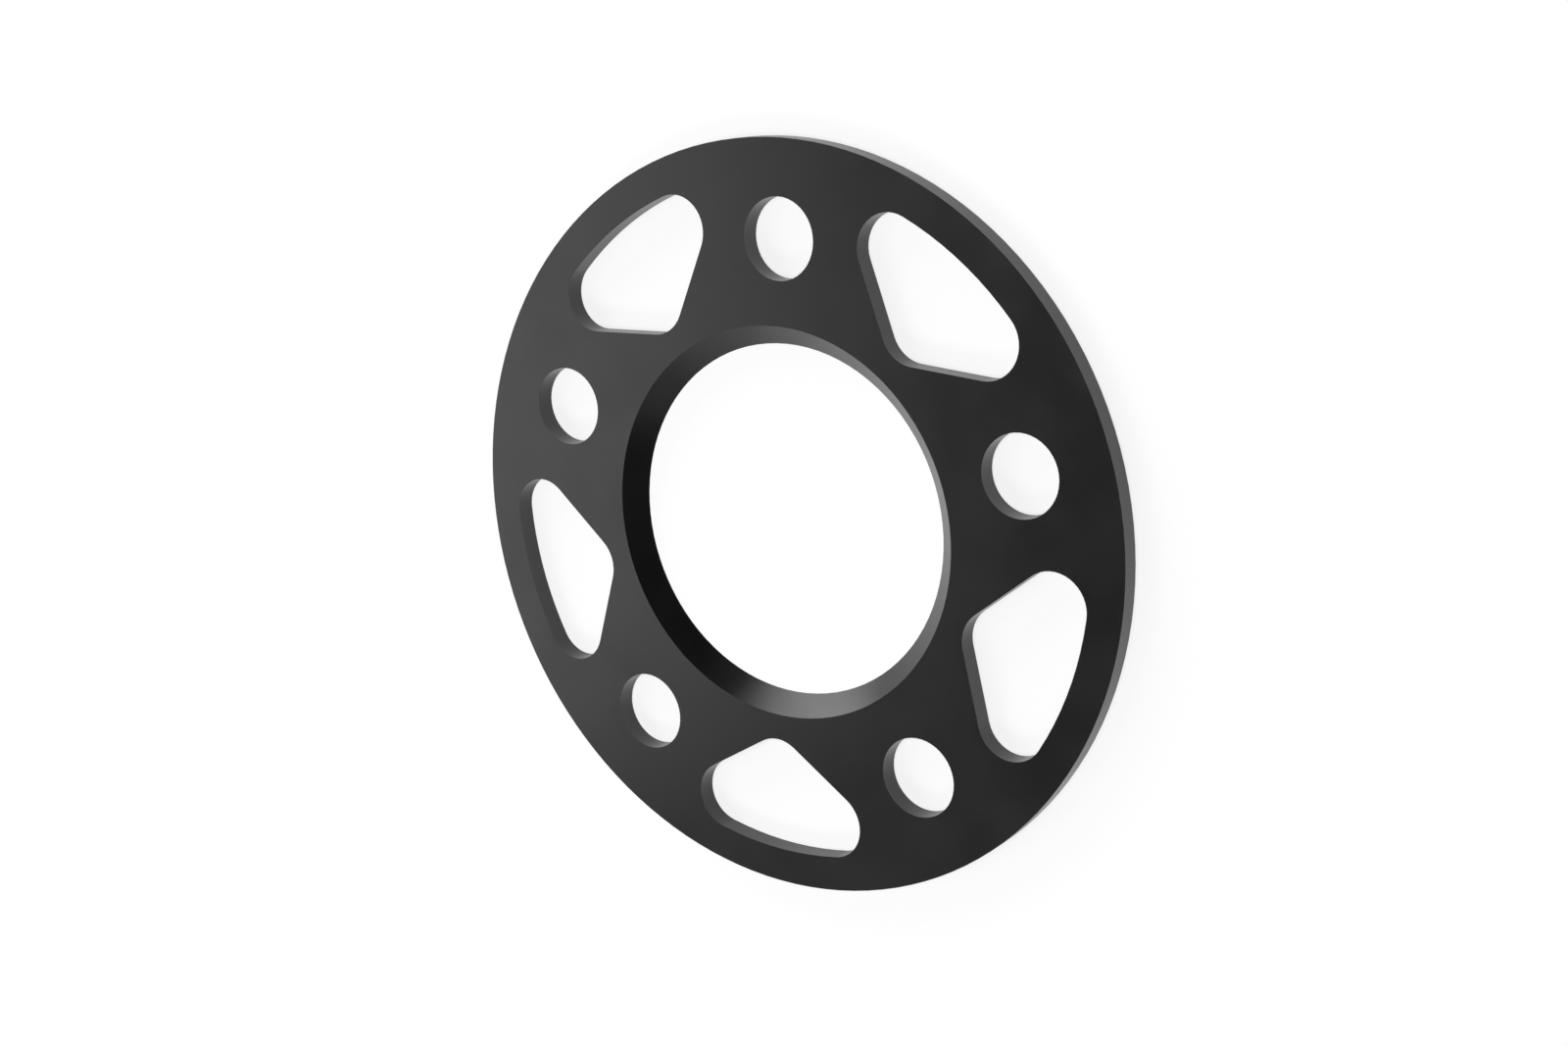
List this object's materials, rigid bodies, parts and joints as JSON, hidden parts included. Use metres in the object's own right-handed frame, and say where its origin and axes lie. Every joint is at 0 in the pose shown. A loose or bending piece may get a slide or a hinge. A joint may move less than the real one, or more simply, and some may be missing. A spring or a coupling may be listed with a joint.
{
  "type": "wheel spacer",
  "caption": "Flat round wheel spacer with a coned centre bore, a circle of bolt holes and rounded triangular lightening windows.",
  "frame": {"origin": "centre of the bore in the back face, the face that seats on the hub, and on which the ring lies", "axes": "+Z along the wheel's axis, up out of the front face with the bore's wide end; +Y through a bolt hole"},
  "size_m": [0.15, 0.15, 0.004],
  "materials": {
    "black_anodised_aluminium": "satin black anodised"
  },
  "bodies": {
    "root": {"spacer_ring": "black_anodised_aluminium"}
  },
  "joints": []
}
